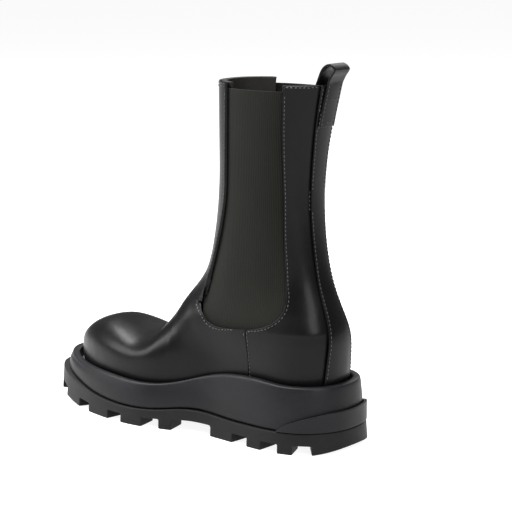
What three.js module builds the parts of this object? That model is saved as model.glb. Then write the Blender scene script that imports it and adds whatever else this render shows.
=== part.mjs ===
// A left-foot chelsea boot: chunky lugged rubber sole, smooth leather upper, elastic side
// gores and a sewn pull loop at the back. Millimetres, +X to the toe, +Y to the outer side
// of the foot, +Z up, origin on the ground under the middle of the sole. The shapes are drawn
// round the middle of the wall's sole line, and every piece is moved to the origin at the end.
import * as THREE from 'three';

// ---- Driving dimensions -------------------------------------------------------------------
const GAP = 0.3;                    // clearance between pieces that touch

const SOLE_LENGTH = 290;
const DRAWN_LENGTH = 290;           // sole length that places along the boot are drawn for
const lengthwise = (x) => (x * SOLE_LENGTH) / DRAWN_LENGTH;
const SOLE_WIDTH = 106;             // the sole at the ball of the foot
const HEEL_WIDTH = 92;              // the sole at the heel
const WAIST_WIDTH = 79;             // the sole at the arch
const SOLE_SHIFT = -0.9;            // puts the middle of the sole's box on the origin
const TOE_ROUNDING = 86;            // length over which the toe end closes
const HEEL_ROUNDING = 50;           // length over which the heel end closes
const END_POWER = 2.35;             // 2 is an ellipse, more is squarer

const OUTSOLE_HEIGHT = 16;          // ground to the ledge, at the heel
const LUG_HEIGHT = 7;
const LUG_STEP = 12;                // spacing of the points along a lug
const NOTCHES = [126, 90, 50, 14, -69, -98, -124].map(lengthwise);
const ARCH_FRONT = lengthwise(-4);  // the arch has no lugs between these
const ARCH_REAR = lengthwise(-38);
const LUG_DEPTH = 19;               // how far a lug reaches in from the edge
const NOTCH_WIDTH = 15;
const ARCH_LIFT = 2.5;              // how much higher the plate is under the arch
const ARCH_SOFTNESS = 22;
const TOE_SPRING = 9;
const OUTSOLE_FLARE = 1.0;          // how far the ground edge stands out past the ledge
const HEEL_BEVEL = 4;               // how far the rear edge of the heel lug is lifted
const HEEL_BEVEL_LENGTH = 18;
const TOE_SPRING_LENGTH = 63;
const TOE_BUMPER = 5;               // how far the outsole's toe stands out in front

const WALL_INSET = 3.4;             // ledge: from the outsole's edge to the wall
const WALL_LEAN = 3.0;              // how far the wall leans in up to its rim
const RIM_WIDTH = 5.6;              // flat top of the wall
const RIM_ROLL = 3.2;               // height over which the wall turns in to its rim
const RIM_HEIGHT_HEEL = 50;
const RIM_HEIGHT_BALL = 33;
const RIM_HEIGHT_TOE = 40;
const BED_GAP = 0.5;                // between the layers of the sole
const SHELL_FLOOR = 4;              // floor of the rubber cup
const BAND_HEIGHT = 14;             // heel band, above the ledge at the rear
const BAND_INSET = 0.9;             // outsole's edge to the face of the heel band
const BAND_START = lengthwise(-104);// where the band's tip begins
const BAND_RISE = 34;               // length over which it reaches its full height
const BAND_ROUNDING = 0.62;
const BAND_TIP = 1.1;               // height of the band's blunt tip

const SEAT_DEPTH = 8;               // how deep the upper stands inside the rim
const UPPER_INSET = 13;             // sole edge to the widest line of the upper
const TOE_ROOM = 4.5;               // how much more it stands in at the toe
const HEEL_ROOM = 1.5;
const LEATHER = 1.8;
const STIFFENER = 1.0;
const LINING = 1.0;
const LAYER_GAP = 0.8;              // room between the leather and what backs it
const STRAP = 1.6;                  // thickness of the pull strap
const BACKSTAY = 1.6;
const MARGIN = 14;                  // leather turned in under the insole board
const BOARD = 2.2;
const CUSHION = 2.4;
const SOCK = 1.0;

const TOP_HEIGHT = 271;             // leather topline
const DRAWN_HEIGHT = 271;           // topline that the shaft's curves are drawn for
const ANKLE_HEIGHT = 125;           // a taller or shorter shaft changes only above here
const TOP_LENGTH = 96;              // opening, front to back over the leather
const TOP_WIDTH = 70;
const SHAFT_CENTRE = lengthwise(-73);
const SHAFT_POWER = 2.3;
const BLEND = 34;                   // softness of the bend between foot and shaft
const BLEND_SHARP = 3;              // and where it is sharpest
const BLEND_LOW = 50;               // the bend is sharp below here, down at the sole
const BLEND_LOW_FRONT = 28;         // the same over the toes
const BLEND_RISE = 45;              // height over which it grows soft
const BLEND_TURN = [0, lengthwise(30)];   // the front begins between these
const FOOT_POWER = 2.35;

const SIDE_SEAM = lengthwise(-68);
const GORE_DROP = 4.5;              // topline down to the elastic's top edge
const GORE_TOP = TOP_HEIGHT - GORE_DROP;
const GORE_TUCK = 6;                // how far the elastic runs under the leather
const SPLIT_FRONT = 104;            // instep line where the shaft front starts to flex
const SPLIT_SIDE = 99;
const SPLIT_GAP = 1.6;
const SPLIT_TURN = 0.75;            // angle round the shaft between those two

const STRAP_WIDTH = 18.5;
const LOOP_RISE = 16;               // how far the loop stands above the topline
const LOOP_TOP = TOP_HEIGHT + LOOP_RISE;
const LOOP_LEAN = 5;                // how far the loop's top leans back
const LOOP_ROOM = 9.5;              // front to back inside the loop
const LOOP_FLEX_GAP = 2.4;          // slit between the loop and the strap's sewn ends
const LOOP_BOW = 0.43;              // how far a leg has spread, as a share
const LOOP_BOW_RISE = 0.35;         // at this share of its height
const LOOP_SHOULDER = 0.73;         // share of its height where the loop is widest
const ANCHOR_LENGTH = 31;           // sewn end of the strap, outside
const INNER_ANCHOR_LENGTH = 19;     // and inside

const PUFF_REAR = lengthwise(78);   // rear edge of the toe puff
const COUNTER_SIDE = 74;            // height of the heel counter's front corners
const COUNTER_BACK = 98;
const COUNTER_TURN = 1.05;          // half angle the counter wraps round the heel
const COUNTER_SLOPE = 1.4;
const MARGIN_CLEARANCE = 1.2;
const BOARD_CLEARANCE = 1.7;
const FILLER_TOE = lengthwise(116);
const FILLER_HEEL = lengthwise(-125);
const SHANK_WIDTH = 15;
const SHANK = 1.3;
const SHANK_REAR = lengthwise(-104);
const SHANK_FRONT = lengthwise(4);

// ---- Small tools --------------------------------------------------------------------------
const lerp = THREE.MathUtils.lerp;
const clamp = THREE.MathUtils.clamp;

/** A smooth function through [position, value] pairs that never overshoots them. */
function through(pairs) {
  const p = [...pairs].sort((a, b) => a[0] - b[0]);
  const n = p.length;
  const slope = [];
  for (let i = 0; i < n - 1; i++) slope.push((p[i + 1][1] - p[i][1]) / (p[i + 1][0] - p[i][0]));
  const tangent = p.map((_, i) => {
    if (i === 0) return slope[0];
    if (i === n - 1) return slope[n - 2];
    if (slope[i - 1] * slope[i] <= 0) return 0;
    return 2 / (1 / slope[i - 1] + 1 / slope[i]);
  });
  return (x) => {
    if (x <= p[0][0]) return p[0][1];
    if (x >= p[n - 1][0]) return p[n - 1][1];
    let i = 0;
    while (x > p[i + 1][0]) i++;
    const h = p[i + 1][0] - p[i][0];
    const t = (x - p[i][0]) / h;
    const a = p[i][1] * (1 + 2 * t) * (1 - t) ** 2 + tangent[i] * h * t * (1 - t) ** 2;
    return a + p[i + 1][1] * t * t * (3 - 2 * t) + tangent[i + 1] * h * t * t * (t - 1);
  };
}

/** Height that a drawn one comes to, which changes only above the ankle. */
function heightwise(z) {
  const stretch = (TOP_HEIGHT - ANKLE_HEIGHT) / (DRAWN_HEIGHT - ANKLE_HEIGHT);
  return z < ANKLE_HEIGHT ? z : ANKLE_HEIGHT + (z - ANKLE_HEIGHT) * stretch;
}

/** A curve along the boot, or up the shaft, drawn as [place, value] pairs. */
const alongBoot = (pairs) => through(pairs.map(([x, value]) => [lengthwise(x), value]));
const upShaft = (pairs) => through(pairs.map(([z, value]) => [heightwise(z), value]));

/** A line up the shaft drawn as [height, place along the boot] pairs, with its end at the topline. */
const lineUpShaft = (pairs, top) =>
  through([...pairs.map(([z, x]) => [heightwise(z), lengthwise(x)]), [TOP_HEIGHT, top]]);

/** Evenly spaced numbers from a to b, both included. */
function steps(a, b, count) {
  return Array.from({ length: count + 1 }, (_, i) => lerp(a, b, i / count));
}

/** The value in [lo, hi] where a rising test turns true. */
function bisect(lo, hi, test) {
  for (let k = 0; k < 40; k++) {
    const mid = (lo + hi) / 2;
    if (test(mid)) hi = mid;
    else lo = mid;
  }
  return (lo + hi) / 2;
}

// ---- Solids made of six-sided cells ---------------------------------------------------------
// Cells that share a face melt together, so a piece is whatever its cells cover.
const CELL_FACES = [[0, 3, 2, 1], [4, 5, 6, 7], [0, 1, 5, 4], [1, 2, 6, 5], [2, 3, 7, 6], [3, 0, 4, 7]];

/** Six times the volume between a four-cornered face and the origin, signed by its facing. */
function facing([a, b, c, d]) {
  const cross = new THREE.Vector3();
  return cross.crossVectors(b, c).dot(a) + cross.crossVectors(c, d).dot(a);
}

class CellSolid {
  constructor() {
    this.points = [];
    this.index = new Map();
    this.faces = new Map();
  }

  id(p) {
    const key = [p.x, p.y, p.z].map((c) => Math.round(c * 500)).join(' ');
    if (!this.index.has(key)) {
      this.index.set(key, this.points.length);
      this.points.push(p.clone());
    }
    return this.index.get(key);
  }

  /** Adds a cell from four corners of one face and the four opposite ones. */
  add(a, b) {
    const corners = [...a, ...b];
    const turned = CELL_FACES.reduce((sum, f) => sum + facing(f.map((k) => corners[k])), 0) < 0;
    const ids = corners.map((c) => this.id(c));
    for (const face of CELL_FACES) {
      let loop = face.map((k) => ids[k]);
      loop = loop.filter((v, k) => v !== loop[(k + 3) % 4]);
      if (loop.length < 3) continue;
      if (turned) loop.reverse();
      const key = [...loop].sort((m, n) => m - n).join(' ');
      if (this.faces.has(key)) this.faces.delete(key);
      else this.faces.set(key, loop);
    }
  }

  geometry() {
    const position = this.points.flatMap((p) => [p.x, p.y, p.z]);
    const triangles = [];
    for (const f of this.faces.values()) {
      if (f.length === 3) {
        triangles.push(...f);
        continue;
      }
      const [a, b, c, d] = f.map((k) => this.points[k]);
      if (a.distanceTo(c) <= b.distanceTo(d)) triangles.push(f[0], f[1], f[2], f[0], f[2], f[3]);
      else triangles.push(f[0], f[1], f[3], f[1], f[2], f[3]);
    }
    const geometry = new THREE.BufferGeometry();
    geometry.setAttribute('position', new THREE.Float32BufferAttribute(position, 3));
    geometry.setIndex(triangles);
    return geometry;
  }
}

/** A skin between an outer and an inner grid of points, both given as grid[column][row]. */
function skin(outer, inner) {
  const solid = new CellSolid();
  for (let i = 0; i + 1 < outer.length; i++) {
    for (let j = 0; j + 1 < outer[i].length; j++) {
      const corners = (g) => [g[i][j], g[i + 1][j], g[i + 1][j + 1], g[i][j + 1]];
      solid.add(corners(outer), corners(inner));
    }
  }
  return solid.geometry();
}

/** A skin whose two sides are the same map of (column, row, level) at two levels. */
function layer(columns, rows, point, outerLevel, innerLevel) {
  const grid = (level) => columns.map((c) => rows.map((r) => point(c, r, level)));
  return skin(grid(outerLevel), grid(innerLevel));
}

// ---- Plan of the sole -----------------------------------------------------------------------
const TOE_END = SOLE_LENGTH / 2;
const HEEL_END = -SOLE_LENGTH / 2;
const DRAWN_END = DRAWN_LENGTH / 2;
const TOE_START = TOE_END - TOE_ROUNDING;
const HEEL_START = HEEL_END + HEEL_ROUNDING;

const halfWidth = alongBoot([
  [-DRAWN_END, HEEL_WIDTH / 2 - 1], [-97, HEEL_WIDTH / 2], [-62, HEEL_WIDTH / 2 - 3.2],
  [-33, WAIST_WIDTH / 2], [-5, WAIST_WIDTH / 2 + 4.4], [28, SOLE_WIDTH / 2 - 1.4],
  [55, SOLE_WIDTH / 2], [78, SOLE_WIDTH / 2 - 1.6], [110, SOLE_WIDTH / 2 - 5.4],
  [DRAWN_END, SOLE_WIDTH / 2 - 10],
]);
const centreShift = alongBoot([
  [-DRAWN_END, 0], [-97, 1.4], [-33, 2.4], [0, 3.9], [28, 3.4], [68, -1], [108, -4.6], [DRAWN_END, -6.4],
]);
const centreLine = (x) => centreShift(x) + SOLE_SHIFT;

/** How far a point of the sole is towards either end, 0 in the middle and 1 at the tip. */
function endShare(x, front = TOE_END, back = HEEL_END) {
  if (x > TOE_START) return (x - TOE_START) / (front - TOE_START);
  if (x < HEEL_START) return (HEEL_START - x) / (HEEL_START - back);
  return 0;
}

/** Point of the sole's edge; turn runs from 0 at the toe tip to 1 at the heel's rear. */
const EDGE_SAMPLES = 600;
const edgeTable = buildEdgeTable();

function edgeAt(x, side) {
  const closed = (1 - Math.min(1, endShare(x)) ** END_POWER) ** (1 / END_POWER);
  return new THREE.Vector2(x, centreLine(x) + side * halfWidth(x) * closed);
}

function buildEdgeTable() {
  const xs = [];
  for (let k = 0; k <= EDGE_SAMPLES; k++) {
    const angle = (Math.PI * k) / EDGE_SAMPLES;
    if (angle < Math.PI / 3) xs.push(TOE_START + TOE_ROUNDING * Math.sin(1.5 * (Math.PI / 3 - angle)) ** 0.8);
    else if (angle < (2 * Math.PI) / 3) xs.push(lerp(TOE_START, HEEL_START, (angle * 3) / Math.PI - 1));
    else xs.push(HEEL_START - HEEL_ROUNDING * Math.sin(1.5 * (angle - (2 * Math.PI) / 3)) ** 0.8);
  }
  const table = [{ x: TOE_END, arc: 0 }];
  for (let k = 1; k < xs.length; k++) {
    const step = edgeAt(xs[k], 1).distanceTo(edgeAt(xs[k - 1], 1));
    table.push({ x: xs[k], arc: table[k - 1].arc + step });
  }
  return table;
}

const EDGE_ARC = edgeTable[edgeTable.length - 1].arc;

/** The x of the edge point that lies a given way along the outer edge from the toe tip. */
function xAtArc(arc) {
  let k = 1;
  while (k < edgeTable.length - 1 && edgeTable[k].arc < arc) k++;
  const a = edgeTable[k - 1];
  const b = edgeTable[k];
  return lerp(a.x, b.x, clamp((arc - a.arc) / (b.arc - a.arc), 0, 1));
}

function arcAtX(x) {
  return bisect(0, EDGE_ARC, (arc) => xAtArc(arc) < x);
}

/** Edge point moved in square to the edge by inset, as a Vector2. */
function insetEdge(arc, side, inset) {
  const reach = 0.4;
  const here = edgeAt(xAtArc(arc), side);
  const a = edgeAt(xAtArc(Math.max(0, arc - reach)), arc < reach ? -side : side);
  const b = edgeAt(xAtArc(Math.min(EDGE_ARC, arc + reach)), arc > EDGE_ARC - reach ? -side : side);
  const along = b.sub(a).normalize();
  return new THREE.Vector2(here.x - along.y * inset * side, here.y + along.x * inset * side);
}

// ---- Heights along the sole -------------------------------------------------------------------
const springAt = (x) => TOE_SPRING * Math.max(0, 1 - (TOE_END - x) / TOE_SPRING_LENGTH) ** 2;
const ground = (x) => springAt(x) + HEEL_BEVEL * Math.max(0, 1 - (x - HEEL_END) / HEEL_BEVEL_LENGTH) ** 2;
const ledge = alongBoot([
  [-DRAWN_END, OUTSOLE_HEIGHT + 0.6], [-98, OUTSOLE_HEIGHT], [-61, OUTSOLE_HEIGHT - 0.2],
  [-34, OUTSOLE_HEIGHT + 1.2], [-19, OUTSOLE_HEIGHT + 2.4], [-4, OUTSOLE_HEIGHT + 0.6],
  [14, OUTSOLE_HEIGHT - 2.2], [39, OUTSOLE_HEIGHT - 2.8], [68, OUTSOLE_HEIGHT - 1.4],
  [104, OUTSOLE_HEIGHT + 4], [128, OUTSOLE_HEIGHT + 8], [DRAWN_END, OUTSOLE_HEIGHT + 10.5],
]);
const ARCH_MIDDLE = (ARCH_FRONT + ARCH_REAR) / 2;
const archAt = (x) => Math.exp(-(((x - ARCH_MIDDLE) / ARCH_SOFTNESS) ** 2));
const plateBottom = (x) => springAt(x) + LUG_HEIGHT + ARCH_LIFT * archAt(x);
const rim = alongBoot([
  [-DRAWN_END, RIM_HEIGHT_HEEL], [-109, RIM_HEIGHT_HEEL], [-78, RIM_HEIGHT_HEEL + 1.8],
  [-52, RIM_HEIGHT_HEEL + 0.2], [-28, RIM_HEIGHT_HEEL - 5], [-8, RIM_HEIGHT_BALL + 5.4],
  [13, RIM_HEIGHT_BALL + 0.8], [33, RIM_HEIGHT_BALL], [60, RIM_HEIGHT_BALL + 1],
  [100, RIM_HEIGHT_BALL + 2], [122, RIM_HEIGHT_TOE - 3], [DRAWN_END, RIM_HEIGHT_TOE],
]);
const seat = (x) => rim(x) - SEAT_DEPTH;
const bandTop = (x) => ledge(x) + BAND_HEIGHT * clamp((BAND_START - x) / BAND_RISE, 0, 1) ** BAND_ROUNDING;

// ---- Shape of the foot and the shaft ------------------------------------------------------------
const upperWidth = (x) => halfWidth(x) - UPPER_INSET;
const FOOT_TOE = TOE_END - UPPER_INSET - TOE_ROOM;
const FOOT_HEEL = HEEL_END + UPPER_INSET + HEEL_ROOM;
const widestLine = alongBoot([[-130.5, 70], [-60, 66], [0, 54], [60, 48], [127.5, 47]]);
const footTop = alongBoot([
  [-130.5, 98], [-90, 100], [-40, 100], [-5, 92], [20, 75], [42, 63.5], [56, 66.5], [74, 71],
  [90, 73.5], [108, 72], [127.5, 65],
]);
const UNDER_DEPTH = 62;
const shaftFront = lineUpShaft([
  [40, 14], [70, 12], [90, 7], [110, -3], [129, -12.5], [149, -18.5], [173, -23], [200, -25.5],
], SHAFT_CENTRE + TOP_LENGTH / 2);
const shaftBack = lineUpShaft([
  [40, -120], [80, -118], [105, -118], [130, -114.5], [152, -110.5], [183, -107.5], [213, -109.5],
  [244, -114.5],
], SHAFT_CENTRE - TOP_LENGTH / 2);
const shaftWidth = upShaft([
  [40, 46], [70, 50], [100, 55.5], [130, 61.5], [180, 65.5], [DRAWN_HEIGHT, TOP_WIDTH],
]);

function footForm(x, y, z) {
  const low = widestLine(x);
  const across = Math.abs(y - centreLine(x)) / upperWidth(x);
  const up = z > low ? (z - low) / (footTop(x) - low) : (low - z) / UNDER_DEPTH;
  const along = Math.max(0, endShare(x, FOOT_TOE, FOOT_HEEL));
  return (across ** FOOT_POWER + up ** FOOT_POWER + along ** FOOT_POWER) ** (1 / FOOT_POWER) - 1;
}

function shaftForm(x, y, z) {
  const front = shaftFront(z);
  const back = shaftBack(z);
  const along = Math.abs(x - (front + back) / 2) / ((front - back) / 2);
  const across = Math.abs(y) / (shaftWidth(z) / 2);
  return (along ** SHAFT_POWER + across ** SHAFT_POWER) ** (1 / SHAFT_POWER) - 1;
}

/** Turns a form's value into a distance in millimetres, near its surface. */
function distance(form, x, y, z) {
  const d = 0.25;
  const gx = form(x + d, y, z) - form(x - d, y, z);
  const gy = form(x, y + d, z) - form(x, y - d, z);
  const gz = form(x, y, z + d) - form(x, y, z - d);
  return form(x, y, z) / Math.max(Math.hypot(gx, gy, gz) / (2 * d), 1e-3);
}

/** Signed distance to the outside of the leather, negative inside the boot. */
function boot(x, y, z) {
  const foot = distance(footForm, x, y, z);
  const shaft = distance(shaftForm, x, y, z);
  const low = lerp(BLEND_LOW, BLEND_LOW_FRONT, THREE.MathUtils.smoothstep(x, ...BLEND_TURN));
  const blend = lerp(BLEND_SHARP, BLEND, THREE.MathUtils.smoothstep(z, low, low + BLEND_RISE));
  const near = Math.max(blend - Math.abs(foot - shaft), 0) / blend;
  return Math.min(foot, shaft) - (near * near * blend) / 4;
}

/** Where a ray from inside the boot meets the surface at a level (0 outside, minus inside). */
function cast(origin, direction, level) {
  const at = (t) => boot(origin.x + direction.x * t, origin.y + direction.y * t, origin.z + direction.z * t);
  let far = 4;
  while (at(far) < level && far < 260) far += 4;
  const t = bisect(far - 4, far, (v) => at(v) > level);
  return origin.clone().addScaledVector(direction, t);
}

/** Point of a level set straight out from the shaft's axis, at an angle from the front. */
function ring(angle, z, level) {
  const direction = new THREE.Vector3(Math.cos(angle), Math.sin(angle), 0);
  return cast(new THREE.Vector3(SHAFT_CENTRE, 0, z), direction, level);
}

/** The angle round the shaft where the leather's outside has a given x. */
function angleAtX(x, z, side = 1) {
  return side * bisect(0.05, Math.PI - 0.02, (angle) => ring(side * angle, z, 0).x < x);
}

/** The angle round the shaft where the leather's outside is a given way from the middle. */
function angleAtBackWidth(half, z, side = 1) {
  return side * bisect(Math.PI / 2 + 0.3, Math.PI, (angle) => Math.abs(ring(side * angle, z, 0).y) < half);
}

// ---- Lines of the pattern, seen from the side -----------------------------------------------------
const goreFront = lineUpShaft([
  [90, -24], [99, -21], [107, -20.5], [122, -23], [144, -31], [166, -39], [187, -44], [209, -45],
], lengthwise(-46.5));
const quarterFront = lineUpShaft([
  [87.3, -70], [88.6, -77], [91, -85], [94.4, -91.5], [99, -96.8], [104, -99.3], [111, -100],
  [120, -99], [142, -97.5], [171, -96.3], [202, -96.4], [231, -97],
], lengthwise(-99.5));
const goreBottom = alongBoot([
  [-100, 107], [-99.3, 104], [-96.8, 99], [-91.5, 94.4], [-85, 91], [-71, 87.5], [-54, 85.5], [-40, 84.7],
  [-31, 86], [-25, 89], [-21.5, 94],
]);
const splitAt = (angle) => lerp(SPLIT_FRONT, SPLIT_SIDE, clamp(Math.abs(angle) / SPLIT_TURN, 0, 1) ** 2);
const GORE_FRONT_X = goreFront(90);
const GORE_REAR_X = quarterFront(112);
const backstayHalf = upShaft([
  [40, 16], [54, 15.5], [69, 14.5], [84, 13.5], [105, 10.5], [130, 8.5], [180, 7.6], [212, 8.2],
  [240, 10], [DRAWN_HEIGHT, 12],
]);

// ---- Levels of the layers ---------------------------------------------------------------------
const LEATHER_IN = -LEATHER;
const MID_OUT = LEATHER_IN - LAYER_GAP;
const MID_IN = MID_OUT - STIFFENER;
const LINING_OUT = MID_IN - LAYER_GAP;
const LINING_IN = LINING_OUT - LINING;
const BACKSTAY_IN = GAP * 1.5;
const BACKSTAY_OUT = BACKSTAY_IN + BACKSTAY;
const BOARD_LOW = GAP - LINING_IN;  // above the seat
const CUSHION_LOW = BOARD_LOW + BOARD + GAP;
const SOCK_LOW = CUSHION_LOW + CUSHION + GAP;

// ---- Foot stations ------------------------------------------------------------------------------
// A station is an upright plane from the foot's middle line out to the sole's edge.
const TOE_FAN_START = TOE_END - 61;
const HEEL_FAN_START = HEEL_END + 47;
const TOE_FAN = 0.66;               // how strongly stations fan out round the toe
const HEEL_FAN = 0.85;

function station(arc, side) {
  const edge = edgeAt(xAtArc(arc), side);
  const toePull = TOE_FAN * Math.max(0, edge.x - TOE_FAN_START);
  const heelPull = HEEL_FAN * Math.max(0, HEEL_FAN_START - edge.x);
  const x = edge.x - toePull + heelPull;
  const base = new THREE.Vector2(x, centreLine(x));
  const out = edge.clone().sub(base).normalize();
  return { side, base, out, x: edge.x };
}

function stationPoint(s, angle, height, level) {
  const origin = new THREE.Vector3(s.base.x, s.base.y, height);
  const direction = new THREE.Vector3(s.out.x * Math.cos(angle), s.out.y * Math.cos(angle), Math.sin(angle));
  return cast(origin, direction, level);
}

/** Wall point of the foot at a height above the seat. */
function footWall(s, above, level) {
  const probe = stationPoint(s, 0, seat(s.x) + above, level);
  const height = seat(probe.x) + above;
  return stationPoint(s, 0, height, level);
}

/** Point of the turned-in margin under the foot; share 0 is at the wall, 1 at its free edge. */
function marginPoint(wall, out, share, level) {
  const inset = lerp(-level, MARGIN, share);
  const p = new THREE.Vector3(wall.x - out.x * inset, wall.y - out.y * inset, 0);
  p.z = seat(p.x) - level;
  return p;
}

const WALL_PROBE = 3;               // height above the seat where margins are measured
const MARGIN_ROWS = [1, 0.5, 0.12];
const WALL_FOOT = 1.4;              // lowest wall row above its margin

// ---- Pieces ---------------------------------------------------------------------------------------
const boots = new THREE.Group();
const LOOKS = {
  leather: [0x16161a, 0.38, 0], lining: [0x1a1918, 0.75, 0], elastic: [0x171814, 0.95, 0],
  rubber: [0x1c1c1e, 0.6, 0], stiffener: [0x6c6456, 0.8, 0], board: [0x8c7250, 0.8, 0],
  cork: [0x9a7147, 0.9, 0], steel: [0x9a9ca0, 0.35, 1], foam: [0x2e2e30, 0.9, 0],
};

function addPiece(name, geometry, look) {
  const [color, roughness, metalness] = LOOKS[look];
  const material = new THREE.MeshStandardMaterial({ color, roughness, metalness });
  const mesh = new THREE.Mesh(geometry, material);
  mesh.name = name;
  geometry.translate(-TOE_BUMPER / 2, 0, 0);
  boots.add(mesh);
}

// Vamp: the foot part of the front, from side seam round the toe to side seam.
const STATION_STEP = 11;

const VAMP_STEP = 9;
const FRONT_COLUMNS = 12;
const VAMP_ROWS = 10;

function halfArcs(fromX, spacing) {
  const end = arcAtX(fromX);
  return steps(spacing / 2, end, Math.round((end - spacing / 2) / spacing));
}

/** Where a column of the front of the shaft meets the instep line. */
function frontColumnX(share) {
  const angle = share * angleAtX(goreFront(SPLIT_SIDE), SPLIT_SIDE);
  return ring(angle, splitAt(angle) - SPLIT_GAP, 0).x;
}

/** Stations from the outer side seam round the toe to the inner one. Under the front of the
    shaft they stand where its columns do. */
function vampStations() {
  const toe = halfArcs(SPLIT_RIDGE_X + GAP, VAMP_STEP);
  const underShaft = steps(0, 1, FRONT_COLUMNS / 2).slice(1).map((share) => arcAtX(frontColumnX(share)));
  const here = underShaft[underShaft.length - 1];
  const end = arcAtX(SIDE_SEAM + GAP / 2);
  const side = steps(here, end, Math.round((end - here) / VAMP_STEP)).slice(1);
  const arcs = [...toe, ...underShaft, ...side];
  const outer = [...arcs].reverse().map((arc) => station(arc, 1));
  return [...outer, ...arcs.map((arc) => station(arc, -1))];
}

/** The steepest angle a vamp station reaches: the ridge, the instep line or the gore. */
function vampLimit(s) {
  if (s.x > SPLIT_RIDGE_X) return Math.PI / 2;
  const height = seat(s.x) + WALL_FOOT;
  const stop = (angle) => {
    const p = stationPoint(s, angle, height, 0);
    const round = Math.atan2(p.y, p.x - SHAFT_CENTRE);
    const top = p.x < goreFront(SPLIT_SIDE) ? goreBottom(p.x) : splitAt(round) - SPLIT_GAP;
    return p.z > top;
  };
  return bisect(0, Math.PI / 2, stop);
}

const SPLIT_RIDGE_X = ring(0, SPLIT_FRONT - SPLIT_GAP, 0).x;
const VAMP_STATIONS = vampStations();
VAMP_STATIONS.forEach((s) => { s.limit = vampLimit(s); });

function vampPoint(s, row, level) {
  if (row.margin) return marginPoint(footWall(s, WALL_PROBE, 0), s.out, row.margin, level);
  return stationPoint(s, s.limit * row.share, seat(s.x) + WALL_FOOT - level, level);
}

function lastedRows(wallRows) {
  return [...MARGIN_ROWS.map((margin) => ({ margin })), ...steps(0, 1, wallRows).map((share) => ({ share }))];
}

addPiece('vamp', layer(VAMP_STATIONS, lastedRows(VAMP_ROWS), vampPoint, 0, LEATHER_IN), 'leather');
addPiece('vamp_lining',
  layer(VAMP_STATIONS, lastedRows(VAMP_ROWS), vampPoint, LINING_OUT, LINING_IN), 'lining');
const puffStations = VAMP_STATIONS.filter((s) => s.x > PUFF_REAR);
addPiece('toe_puff', layer(puffStations, lastedRows(VAMP_ROWS), vampPoint, MID_OUT, MID_IN), 'stiffener');

// Front of the shaft, above the instep line.
function shaftFrontPoint(share, row, level) {
  let z = lerp(SPLIT_FRONT, TOP_HEIGHT, row);
  let angle = 0;
  for (let k = 0; k < 3; k++) {
    angle = share * angleAtX(goreFront(z), z);
    z = lerp(splitAt(angle), TOP_HEIGHT, row);
  }
  return ring(angle, z, level);
}

const SHAFT_ROWS = [0, 0.03, 0.09, 0.13, 0.17, 0.22, 0.27, 0.33, 0.4, 0.5, 0.6, 0.72, 0.85, 0.97, 1];
const shaftFrontLayer = (outerLevel, innerLevel) =>
  layer(steps(-1, 1, FRONT_COLUMNS), SHAFT_ROWS, shaftFrontPoint, outerLevel, innerLevel);
addPiece('front_shaft', shaftFrontLayer(0, LEATHER_IN), 'leather');
addPiece('front_shaft_lining', shaftFrontLayer(LINING_OUT - GAP * 2, LINING_IN - GAP * 2), 'lining');

// Quarters: the rear half of the upper, one each side, meeting in a seam down the back.
function lastedHeelPoint(angleOf, row, level) {
  const wall = ring(angleOf(RIM_HEIGHT_HEEL), seat(SIDE_SEAM) + WALL_PROBE, 0);
  const out = new THREE.Vector3(wall.x - SHAFT_CENTRE, wall.y, 0).normalize();
  if (row.margin) return marginPoint(wall, out, row.margin, level);
  const z = row.z === undefined ? seat(wall.x) + WALL_FOOT - level : row.z;
  return ring(angleOf(z), z, level);
}

const frontAngles = new Map();
function quarterFrontAngle(z) {
  if (!frontAngles.has(z)) {
    const x = z < goreBottom(SIDE_SEAM) ? SIDE_SEAM - GAP / 2 : quarterFront(z);
    frontAngles.set(z, [1, -1].map((side) => Math.abs(angleAtX(x, z, side))));
  }
  return frontAngles.get(z);
}

/** Angle on one side, from the front edge at share 0 to the back seam at share 1. */
function quarterAngle(side, share) {
  return (z) => {
    const front = quarterFrontAngle(z)[side > 0 ? 0 : 1];
    const back = Math.PI - GAP / 2 / (SHAFT_CENTRE - shaftBack(z));
    return side * lerp(front, back, share);
  };
}

const SEAM_TOP = goreBottom(SIDE_SEAM) - 0.4;
const SHAFT_HEIGHTS = [125, 142, 162, 186, 212, 238, 257, 267, DRAWN_HEIGHT].map(heightwise);
const HEEL_LOW = RIM_HEIGHT_HEEL - SEAT_DEPTH + WALL_PROBE;
const WALL_HEIGHTS = [0.17, 0.38, 0.62, 0.83].map((share) => lerp(HEEL_LOW, SEAM_TOP, share));
const HEEL_HEIGHTS = [...WALL_HEIGHTS, SEAM_TOP, 88.8, 91, 94.4, 99, 105, 113, ...SHAFT_HEIGHTS];
const QUARTER_ROWS = [...MARGIN_ROWS.map((margin) => ({ margin })), {}, ...HEEL_HEIGHTS.map((z) => ({ z }))];
for (const [side, name] of [[1, 'outer'], [-1, 'inner']]) {
  const point = (share, row, level) => lastedHeelPoint(quarterAngle(side, share), row, level);
  addPiece(`quarter_${name}`, layer(steps(0, 1, 7), QUARTER_ROWS, point, 0, LEATHER_IN), 'leather');
}

const rearLiningPoint = (share, row, level) => {
  const angleOf = (z) => {
    const front = quarterFrontAngle(z)[share > 0 ? 1 : 0];
    return share > 0 ? lerp(Math.PI, 2 * Math.PI - front, share) : lerp(Math.PI, front, -share);
  };
  return lastedHeelPoint(angleOf, row, level);
};
addPiece('rear_lining',
  layer(steps(-1, 1, 14), QUARTER_ROWS, rearLiningPoint, LINING_OUT, LINING_IN), 'lining');

// Heel counter: the stiff cup round the heel, between leather and lining.
const counterTop = (share) => lerp(COUNTER_SIDE, COUNTER_BACK, (1 - Math.abs(share)) ** COUNTER_SLOPE);

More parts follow.
